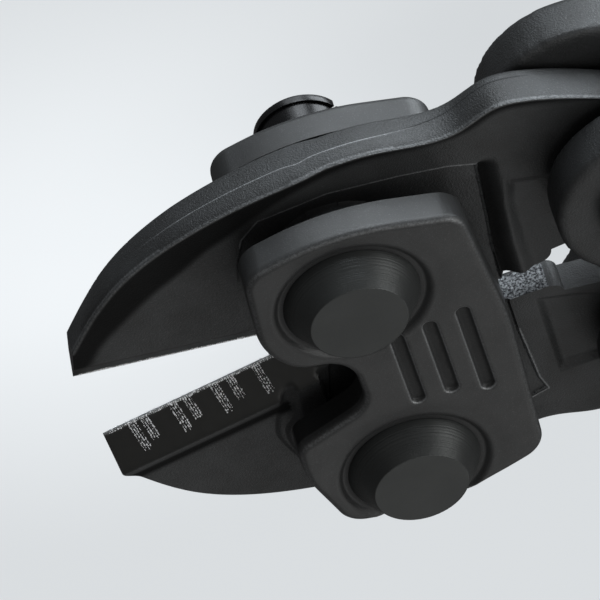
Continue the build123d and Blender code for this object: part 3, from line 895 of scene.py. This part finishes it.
def seam_height(points):
    """How far the seam lies above the middle: a jog over the front bolt, a fall at the back's step."""
    x = points[:, 0]
    return 0.08 + 0.20 * hump(x, -0.6, 0.8) - 0.85 * ease((x - 5.0) / 10.0)


def swelling(jaw):
    def push(points, share):
        back = hump(distance(points, jaw["line"]), 0, 0.2) * (points[:, 0] > -21)
        proud = SEAM_STEP if share < 0.5 else 0
        return back * (0.10 * (4 * share * (1 - share)) + proud * min(1, 6 * share))
    return push


def jaw_marks(jaw, height, floor_loop, step_loop):
    """Where a jaw is ground or bare, where it is lightened by wear and painted highlights, and where shade is
    painted in.
    """
    s = jaw["side"]

    def ground(verts):
        below = bevel(verts[:, :2], jaw) - np.abs(verts[:, 2])
        return (0.6 if s > 0 else 1) * fade((below - 0.02) / 0.05)

    # Painted shade: the coves below the rim, the trough, the lower jaw's band behind its ridge and a thin
    # line in the lap along the die seam are darkened where shade falls.
    def hollow(verts):
        flat, z = verts[:, :2], np.abs(verts[:, 2])
        spine = distance(flat, jaw["line"])
        face = z > height(flat) - 0.05
        if s > 0:
            gap = outside_by(flat, floor_loop)
            cove = ease(gap / 0.9) * ease((spine - 0.12) / 0.25)
            dark = 0.9 * cove + 0.95 * trough(flat)
        else:
            tip, _, into = edge_line(jaw)
            depth = (flat - tip) @ into
            dark = 0.95 * ease((depth - 3.9) / 0.5) * fade((depth - 5.1) / 0.7) * (flat[:, 0] < -8)
        lap = hump(verts[:, 2] - seam_height(flat), -0.06, 0.07) * (spine < 0.3)
        lap = lap * ease((flat[:, 0] - 7.5) / 2.0) * fade((flat[:, 0] - 17.5) / 1.5)
        return np.where(face, dark, lap)

    # Light lines on the cutting edge, the rim, the die seam and the step's lip: part wear, part painted
    # highlight where the edges catch the light.
    def wear_and_highlight(verts):
        flat = verts[:, :2]
        tip, _, into = edge_line(jaw)
        edge = 1.2 * hump((flat - tip) @ into, 0, 0.16) * (flat[:, 0] < -4)
        back = distance(flat, jaw["line"])
        rim = 0.5 * hump(back, 0.06, 0.08) * (verts[:, 2] > height(flat) - 0.25)
        rim += 0.9 * hump(verts[:, 2] - seam_height(flat), 0.05, 0.06) * (back < 0.3) \
            * ease((flat[:, 0] + 16) / 6.0) * fade((flat[:, 0] - 5.0) / 5.0)
        lip = 0.8 * hump(distance(flat, step_loop, True), 0.06, 0.07) * (flat[:, 1] * s > 5)
        return edge + rim + lip * (np.abs(verts[:, 2]) > STEP_LEVEL + 0.1)

    def bare(verts):
        x, y, z = verts.T
        heel = (x > 11.2) & (x < 15.0) & (y > jaw["heel"] - 0.03) & (z > -1.2)
        return (heel & (s < 0)).astype(float)

    return {"ground": ground, "hollow": hollow, "wear_and_highlight": wear_and_highlight, "bare": bare}


def crease_lines(jaw, lines):
    """The creases that every jaw has, with its own lines added."""
    s = jaw["side"]
    tip, along, into = edge_line(jaw)
    reach = np.hypot(*(np.array(jaw["edge_end"]) - tip))
    shared = [(circle((0, s * PIVOT_Y), BOSS_RADIUS), True), (circle((TAIL_X, s * TAIL_Y), EYE_RADIUS), True)]
    for depth in (0.12, 0.35, 2.0 if s > 0 else RIDGE_DEPTH):
        shared.append(([tip + into * depth, tip + along * reach + into * depth], False))
    return shared + lines


upper_creases = crease_lines(UPPER, [(UPPER_STEP, True), (lath(UPPER_FLOOR, 0.4), False),
                                     (UPPER_PANEL, True)])
lower_creases = crease_lines(LOWER, [(LOWER_STEP, True), (lath(SHOULDER_ONE, 0.3), False),
                                     (lath(SHOULDER_TWO, 0.3), False), (LOWER_PANEL, True)])

# %% Jaw pieces
PIN_HOLE = 3.05
for side, jaw, height, creases, floor_loop, step_loop in (
        ("upper", UPPER, upper_height, upper_creases, UPPER_FLOOR_LOOP, UPPER_STEP),
        ("lower", LOWER, lower_height, lower_creases, SHOULDER_ONE_LOOP, LOWER_STEP)):
    holes = [circle((0, jaw["side"] * PIVOT_Y), BOLT_HOLE)[::-1],
             circle((TAIL_X, jaw["side"] * TAIL_Y), PIN_HOLE)[::-1]]
    forging = relief(side + "_jaw_forging", jaw["loop"], height, lambda p, h=height: -h(p), holes,
                     creases, swell=swelling(jaw), marks=jaw_marks(jaw, height, floor_loop, step_loop))
    finish(forging, FORGED, side + "_jaw", "forged_black", side + "_jaw")

# %% [markdown]
# ## Geometry node trees
# Marks and ribs repeat along a line, so a tree of geometry nodes lays them out. Each tree takes
# named sizes, so a reader can change the pitch without touching the code. The result is turned into
# a plain mesh, because instances and modifiers don't travel with an exported part.

# %% Tree helpers
def new_tree(name, **inputs):
    """A node tree with a geometry input, inputs of the given kinds and a geometry output."""
    tree = bpy.data.node_groups.new(name, "GeometryNodeTree")
    tree.interface.new_socket("Geometry", in_out="INPUT", socket_type="NodeSocketGeometry")
    for label, kind in inputs.items():
        tree.interface.new_socket(label, in_out="INPUT", socket_type="NodeSocket" + kind)
    tree.interface.new_socket("Geometry", in_out="OUTPUT", socket_type="NodeSocketGeometry")
    return tree, tree.nodes.new("NodeGroupInput"), tree.nodes.new("NodeGroupOutput")


def settled(piece):
    """Turns what a piece's modifiers make into its plain mesh."""
    graph = bpy.context.evaluated_depsgraph_get()
    mesh = bpy.data.meshes.new_from_object(piece.evaluated_get(graph))
    piece.modifiers.clear()
    piece.data = mesh
    print(f"{piece.name}: {len(mesh.vertices)} points")
    return piece


def grown(name, points, edges, fields, tree, values):
    """Runs a tree on a few points that carry fields, and keeps its result as a plain mesh."""
    mesh = bpy.data.meshes.new(name)
    mesh.from_pydata([tuple(p) for p in points], edges, [])
    for label, numbers in fields.items():
        numbers = np.asarray(numbers, np.float32)
        kind, slot = ("FLOAT_VECTOR", "vector") if numbers.ndim == 2 else ("FLOAT", "value")
        mesh.attributes.new(label, kind, "POINT").data.foreach_set(slot, numbers.ravel())
    piece = added(name, mesh)
    modifier = piece.modifiers.new("grow", "NODES")
    modifier.node_group = tree
    for socket in tree.interface.items_tree:
        if socket.in_out == "INPUT" and socket.name in values:
            modifier[socket.identifier] = values[socket.name]
    return settled(piece)

# %% [markdown]
# The blade's edge was serrated by a form tool before it was blackened, and the coating is broken
# there: short rows of bright specks lie across the ground bevel, near white so that each shows as a
# painted glint. The tree starts from one point for each row, with the row's own run, repeats it,
# shifts every copy along the run with a little scatter, and puts a small bead on it.

# %% Edge marks
ROW_GAP = 0.20            # mm between the rows of one mark
ROW_LEAN = 0.08
ROW_PITCH = 0.125         # mm between the specks of one row
EDGE_DEPTHS = (0.05, 0.16)
EDGE_RUN = 17.0
EDGE_SPECKS = 110
LONG_ROWS = [(2.5 + 3.74 * k, 2.6) for k in range(4)]
SHORT_ROWS = [(3.6 + 3.9 * k, 2.05) for k in range(3)]


def speck_tree():
    tree, given, out = new_tree("specks", Size="Float", Scatter="Float", Seed="Int", Material="Material")
    points = add_node(tree, "GeometryNodeMeshToPoints", _0=given.outputs["Geometry"])
    count = add_node(tree, "GeometryNodeInputNamedAttribute", [("data_type", "FLOAT")], Name="specks")
    many = add_node(tree, "GeometryNodeDuplicateElements", [("domain", "POINT")],
                    _0=points.outputs[0], Amount=count.outputs[0])
    run = add_node(tree, "GeometryNodeInputNamedAttribute", [("data_type", "FLOAT_VECTOR")], Name="run")
    share = add_node(tree, "ShaderNodeMath", [("operation", "DIVIDE")],
                     _0=many.outputs["Duplicate Index"], _1=count.outputs[0])
    along = add_node(tree, "ShaderNodeVectorMath", [("operation", "SCALE")],
                     _0=run.outputs[0], Scale=share.outputs[0])
    jitter = add_node(tree, "FunctionNodeRandomValue", [("data_type", "FLOAT_VECTOR")],
                      _0=(-1.0, -1.0, -0.3), _1=(1.0, 1.0, 0.3), Seed=given.outputs["Seed"])
    spread = add_node(tree, "ShaderNodeVectorMath", [("operation", "SCALE")],
                      _0=jitter.outputs[0], Scale=given.outputs["Scatter"])
    both = add_node(tree, "ShaderNodeVectorMath", _0=along.outputs[0], _1=spread.outputs[0])
    moved = add_node(tree, "GeometryNodeSetPosition", _0=many.outputs[0], Offset=both.outputs[0])
    bead = add_node(tree, "GeometryNodeMeshIcoSphere", Radius=given.outputs["Size"], Subdivisions=1)
    scale = add_node(tree, "FunctionNodeRandomValue", [("data_type", "FLOAT")], _2=0.25, _3=1.15,
                     Seed=given.outputs["Seed"])
    beads = add_node(tree, "GeometryNodeInstanceOnPoints", Points=moved.outputs[0],
                     Instance=bead.outputs[0], Scale=scale.outputs[1])
    real = add_node(tree, "GeometryNodeRealizeInstances", _0=beads.outputs[0])
    paint = add_node(tree, "GeometryNodeSetMaterial", _0=real.outputs[0], Material=given.outputs["Material"])
    plug(tree, out, _0=paint.outputs[0])
    return tree


def edge_rows(jaw, groups, lines, face):
    """Starts, runs and counts of the rows on a jaw's bevel: groups are (distance from tip, length)."""
    tip, along, into = edge_line(jaw)
    rows = []
    for reach, length in groups:
        for k in range(lines):
            shift = (k - (lines - 1) / 2) * ROW_GAP
            rows.append((tip + along * (reach + shift) + into * 0.10,
                         (into + along * ROW_LEAN) * length * (1 - 0.08 * (k % 2)), length / ROW_PITCH))
    for depth in EDGE_DEPTHS:
        rows.append((tip + into * depth + along * 0.5, along * EDGE_RUN, EDGE_SPECKS))
    starts, runs, counts = [], [], []
    for start, run, count in rows:
        starts.append((*start, face * (0.05 + (start - tip) @ into * BLADE_SLOPE)))
        runs.append((*run, face * (run @ into) * BLADE_SLOPE))
        counts.append(count)
    return starts, runs, counts


SPECKS = speck_tree()
for jaw, body, groups, lines in ((LOWER, "lower_jaw", LONG_ROWS + SHORT_ROWS, 4),
                                 (UPPER, "upper_jaw", [(r, 0.45) for r, _ in LONG_ROWS], 3)):
    both = [edge_rows(jaw, groups, lines, face) for face in (1, -1)]
    starts, runs, counts = (sum((side[k] for side in both), []) for k in range(3))
    piece = grown(body + "_edge_marks", place(starts), [],
                  {"run": np.array(runs) * MM, "specks": counts}, SPECKS,
                  {"Size": 0.000078, "Scatter": 0.00003, "Seed": 5, "Material": BARE_GLINT_STEEL})
    finish(piece, BARE_GLINT_STEEL, body, "forged_black")

# %% [markdown]
# ## Handles
# Each handle is one forging: a fork that straddles the jaw's tail, a lap eye round the centre bolt,
# a neck, and a tang inside the grip. A forging has no sharp edges, so the arm is skinned again with
# small voxels and its corners are melted by a few smoothing passes.

# %% Handle arms
VOXEL = 0.38
MELT_PASSES = 5
THINNED = 0.35            # the share of the faces that stay


def softened(node, name):
    """A copy of a node with every edge melted a little."""
    piece = added(name, frame["nodes"][node].data.copy())
    skin = piece.modifiers.new("skin", "REMESH")
    skin.mode = "VOXEL"
    skin.voxel_size = VOXEL * MM
    melt = piece.modifiers.new("melt", "SMOOTH")
    melt.iterations = MELT_PASSES
    thin = piece.modifiers.new("thin", "DECIMATE")
    thin.ratio = THINNED
    settled(piece).data.shade_smooth()
    return piece


for side in ("upper", "lower"):
    arm = softened(side + "_handle_arm", side + "_arm_forging")
    finish(arm, FORGED, side + "_handle", "forged_black", side + "_handle_arm")

# %% [markdown]
# The grip is drawn along its own axis. Its section is an ellipse whose half width and half depth
# follow smooth curves, so that the hand finds a waist between two swells. Placing it takes the
# centre bolt's position from the frame, and turns the lower one over.

# %% Grip skins
HANDLE_ANGLE = 25.64      # how far an arm is turned from closed, degrees
GRIP_STATIONS = [(36.0, 13.6, 7.4, 8.2), (52.0, 14.0, 9.4, 10.6), (78.0, 15.2, 10.6, 12.7),
                 (104.0, 15.6, 10.2, 12.7), (130.0, 15.0, 10.8, 12.7), (148.0, 14.4, 9.2, 11.4)]
SKIN = 0.25               # how far the whole grip lies inside its packed form
SLEEVE_INSET = 0.75
SLEEVE_SPAN = (46.2, 139.8)
AROUND = 96
bolt_low, bolt_high = box_mm("centre_bolt")
CENTRE_X = float(bolt_low[0] + bolt_high[0]) / 2


def grip_section(x):
    """Middle line, half width and half depth at a distance along the grip."""
    table = np.array(GRIP_STATIONS)
    curves = [lath(table[:, (0, k)], 0.5) for k in (1, 2, 3)]
    return [float(np.interp(x, c[:, 0], c[:, 1])) for c in curves]


def handle_frame(side):
    """The matrix from an arm's own frame to the model's frame, in the open pose."""
    return Matrix.Translation(place((0, 0, 0))) @ Matrix.Diagonal((1, side, side, 1)) \
        @ Matrix.Translation((CENTRE_X * MM, 0, 0)) @ Matrix.Rotation(radians(HANDLE_ANGLE), 4, "Z")


def lofted(name, profile, side, open_ends):
    """Rings of a profile (distance, inset) joined into a closed skin."""
    verts, faces = [], []
    angles = np.linspace(0, 2 * pi, AROUND, endpoint=False)
    for x, inset in profile:
        middle, width, depth = grip_section(x)
        verts += [(x, middle + (width - inset) * cos(a), (depth - inset) * sin(a)) for a in angles]
    count = len(profile)
    for i in range(count if open_ends else count - 1):
        j = (i + 1) % count
        for k in range(AROUND):
            m = (k + 1) % AROUND
            faces.append((i * AROUND + k, i * AROUND + m, j * AROUND + m, j * AROUND + k))
    if not open_ends:
        faces.append(tuple(range(AROUND))[::-1])
        faces.append(tuple(range((count - 1) * AROUND, count * AROUND)))
    mesh = bpy.data.meshes.new(name)
    mesh.from_pydata((np.array(verts) * MM).tolist(), [], faces)
    mesh.transform(handle_frame(side))
    mesh.validate()
    mesh.shade_smooth()
    mesh.set_sharp_from_angle(angle=radians(50))
    return added(name, mesh)


def rounded_end(x, inset, radius, way):
    """Profile points of a rounded end: way is 1 towards the tip end, -1 towards the heel."""
    steps = [(pi / 2) * k / 6 for k in range(7)]
    points = [(x + way * radius * (1 - cos(a)), inset + radius * (1 - sin(a))) for a in steps]
    return points if way > 0 else points[::-1]


low, high = SLEEVE_SPAN
core_profile = [(36.1, SKIN + 3.0)] + rounded_end(36.1, SKIN, 1.6, 1) \
    + rounded_end(low - 0.15, SKIN, 0.5, -1) + [(low - 0.1, 2.6), (high + 0.1, 2.6)] \
    + rounded_end(high + 0.15, SKIN, 0.5, 1) + rounded_end(147.9, SKIN, 2.6, -1) + [(147.9, SKIN + 5.0)]
sleeve_out = rounded_end(low, SLEEVE_INSET, 0.7, 1) \
    + [(float(x), SLEEVE_INSET) for x in np.linspace(low + 2, high - 2, 60)] \
    + rounded_end(high, SLEEVE_INSET, 0.7, -1)
sleeve_profile = sleeve_out + [(high, 2.55), (low, 2.55)]

# %% [markdown]
# Ribs across the sleeve keep the hand from sliding. A tree resamples the grip's axis at the rib
# pitch and sets one ring on each point, scaled by the section that the axis carries there.

# %% Grip ribs
def rib_tree():
    tree, given, out = new_tree("grip_ribs", Pitch="Float", Share="Float", Material="Material")
    curve = add_node(tree, "GeometryNodeMeshToCurve", _0=given.outputs["Geometry"])
    even = add_node(tree, "GeometryNodeResampleCurve", [("mode", "LENGTH")],
                    Curve=curve.outputs[0], Length=given.outputs["Pitch"])
    ring = add_node(tree, "GeometryNodeCurvePrimitiveCircle", Resolution=72, Radius=1.0)
    profile = add_node(tree, "GeometryNodeCurvePrimitiveCircle", Resolution=10,
                       Radius=given.outputs["Share"])
    band = add_node(tree, "GeometryNodeCurveToMesh", _0=ring.outputs[0], Profile_Curve=profile.outputs[0])
    size = add_node(tree, "GeometryNodeInputNamedAttribute", [("data_type", "FLOAT_VECTOR")], Name="section")
    rings = add_node(tree, "GeometryNodeInstanceOnPoints", Points=even.outputs[0],
                     Instance=band.outputs[0], Rotation=(0.0, pi / 2, 0.0), Scale=size.outputs[0])
    real = add_node(tree, "GeometryNodeRealizeInstances", _0=rings.outputs[0])
    soft = add_node(tree, "GeometryNodeSetShadeSmooth", _0=real.outputs[0])
    paint = add_node(tree, "GeometryNodeSetMaterial", _0=soft.outputs[0], Material=given.outputs["Material"])
    plug(tree, out, _0=paint.outputs[0])
    return tree


RIBS = rib_tree()
RIB_SPAN = (54.0, 132.0)
RIB_SUNK = 0.95           # how far a rib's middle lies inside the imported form, mm
for side, name in ((1, "upper"), (-1, "lower")):
    core = lofted(name + "_grip_body", core_profile, side, False)
    finish(core, HARD, name + "_handle", "hard_grip", name + "_grip_core")
    sleeve = lofted(name + "_grip_cover", sleeve_profile, side, True)
    finish(sleeve, SOFT, name + "_handle", "soft_grip", name + "_grip_sleeve")
    stations = np.linspace(*RIB_SPAN, 80)
    sections = np.array([grip_section(x) for x in stations])
    axis_points = [(x * MM, m * MM, 0) for x, m in zip(stations, sections[:, 0])]
    scales = [((d - RIB_SUNK) * MM, (w - RIB_SUNK) * MM, (w + d) / 2 * MM) for _, w, d in sections]
    ribs = grown(name + "_grip_ribs", axis_points, [(k, k + 1) for k in range(79)],
                 {"section": scales}, RIBS, {"Pitch": 0.0042, "Share": 0.055, "Material": SOFT})
    ribs.data.transform(handle_frame(side))
    finish(ribs, SOFT, name + "_handle", "soft_grip")

# %% [markdown]
# ## Small parts
# Bolts, pins, nuts, washers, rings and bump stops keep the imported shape. A bevel modifier breaks
# their edges, because even a turned part has a fine chamfer that catches the light.

# %% Finishes by node
PLAIN = {          # the end of the node's name: finish, and the width of its broken edge in mm
    "pivot_bolt": (TURNED, 0.10), "rear_nut": (GLOSSY, 0.12), "nut_washer": (SPRING, 0.12),
    "tail_pin": (TURNED, 0.25), "tail_ring": (SPRING, 0.10), "buffer": (RUBBER, 0.40),
    "centre_bolt": (TURNED, 0.35), "centre_nut": (TURNED, 0.20), "centre_front_washer": (SPRING, 0.20),
    "centre_rear_washer": (SPRING, 0.20), "handle_arm": (FORGED, 0), "grip_core": (HARD, 0),
    "grip_sleeve": (SOFT, 0), "side_plate": (PRESSED, 0), "jaw": (FORGED, 0)}
for name, node in frame["nodes"].items():
    for ending, (material, edge) in PLAIN.items():
        if name.endswith(ending):
            node.data.materials.clear()
            node.data.materials.append(material)
            if edge:
                weld = node.modifiers.new("weld", "WELD")
                weld.merge_threshold = 0.005 * MM
                broken = node.modifiers.new("broken_edges", "BEVEL")
                broken.width = edge * MM
                broken.segments = 2
                broken.limit_method = "ANGLE"
                broken.angle_limit = radians(40)
                broken.harden_normals = False
print(len(frame["nodes"]), "nodes of the packed model have their finishes")
